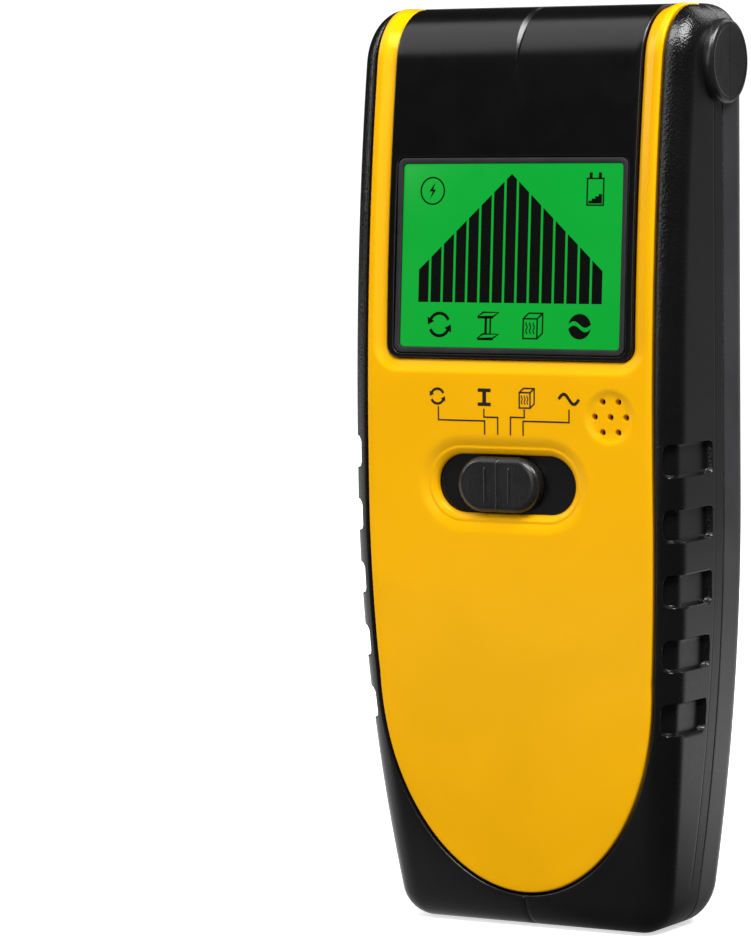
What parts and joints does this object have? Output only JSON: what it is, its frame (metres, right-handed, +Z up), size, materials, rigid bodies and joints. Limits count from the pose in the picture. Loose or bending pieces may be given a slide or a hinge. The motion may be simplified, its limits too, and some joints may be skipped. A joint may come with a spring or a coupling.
{
  "type": "stud finder",
  "caption": "Hand-held wall scanner with a display, a sliding mode switch, a side scan button, ribbed grips, a flat sensing back and a hinged battery cover.",
  "frame": {"origin": "middle of the bottom, under the upright body", "axes": "+Z up along the body, -Y the display side, +Y the flat sensing side, +X the right-hand side seen from the front"},
  "size_m": [0.0754, 0.0349, 0.18],
  "materials": {
    "black_abs": "fine-grained moulded black ABS",
    "yellow_abs": "satin moulded yellow ABS",
    "gloss_black": "polished black window",
    "frame_grey": "satin dark grey",
    "lcd_green": "backlit green display glass",
    "milky": "milky light guide",
    "board_green": "solder-masked board",
    "chip_black": "moulded chip and switch bodies",
    "tin": "tinned sheet",
    "copper": "bare copper",
    "ferrite": "sintered ferrite",
    "foam": "soft black foam and rubber",
    "red_lead": "red insulated lead",
    "black_lead": "black insulated lead",
    "battery_jacket": "printed battery jacket",
    "steel": "plated steel",
    "trimmer_blue": "blue trimmer"
  },
  "bodies": {
    "case": {"amplifier_chip": "chip_black", "battery": "battery_jacket", "battery_pad": "foam", "battery_snap": "foam", "battery_terminal_negative": "steel", "battery_terminal_positive": "steel", "board_link": "chip_black", "board_screw_left": "steel", "board_screw_right": "steel", "board_screw_top": "steel", "calibration_trimmer": "trimmer_blue", "case_screw_lower_left": "steel", "case_screw_lower_right": "steel", "case_screw_upper_left": "steel", "case_screw_upper_right": "steel", "coil_core": "ferrite", "crystal": "tin", "display_window": "gloss_black", "face_plate": "yellow_abs", "filter_capacitor": "frame_grey", "front_shell": "black_abs", "lcd_backlight": "milky", "lcd_bezel": "frame_grey", "lcd_connector": "foam", "lcd_glass": "lcd_green", "lead_black": "black_lead", "lead_red": "red_lead", "main_board": "board_green", "metal_coil": "copper", "mode_switch_body": "tin", "processor": "chip_black", "rear_shell": "black_abs", "scan_switch_body": "tin", "sensor_board": "board_green", "sensor_plate_left": "copper", "sensor_plate_middle": "copper", "sensor_plate_right": "copper", "sounder": "chip_black", "supply_capacitor": "frame_grey", "voltage_regulator": "chip_black"},
    "mode_slider": {"mode_knob": "black_abs", "mode_switch_lever": "tin"},
    "scan_press": {"scan_button": "yellow_abs", "scan_switch_plunger": "chip_black"},
    "battery_cover": {"battery_door": "black_abs"}
  },
  "joints": [
    {"name": "mode_slide", "type": "slide", "parent": "case", "child": "mode_slider", "axis": [1, 0, 0], "range_m": [-0.00282, 0.00564]},
    {"name": "scan_press", "type": "slide", "parent": "case", "child": "scan_press", "axis": [1, 0, 0], "range_m": [0, 0.0008], "stiffness_N_per_m": 1500},
    {"name": "battery_cover_hinge", "type": "hinge", "parent": "case", "child": "battery_cover", "pos_m": [0, 0.0169, 0.015], "axis": [-1, 0, 0], "range_deg": [0, 95]}
  ]
}
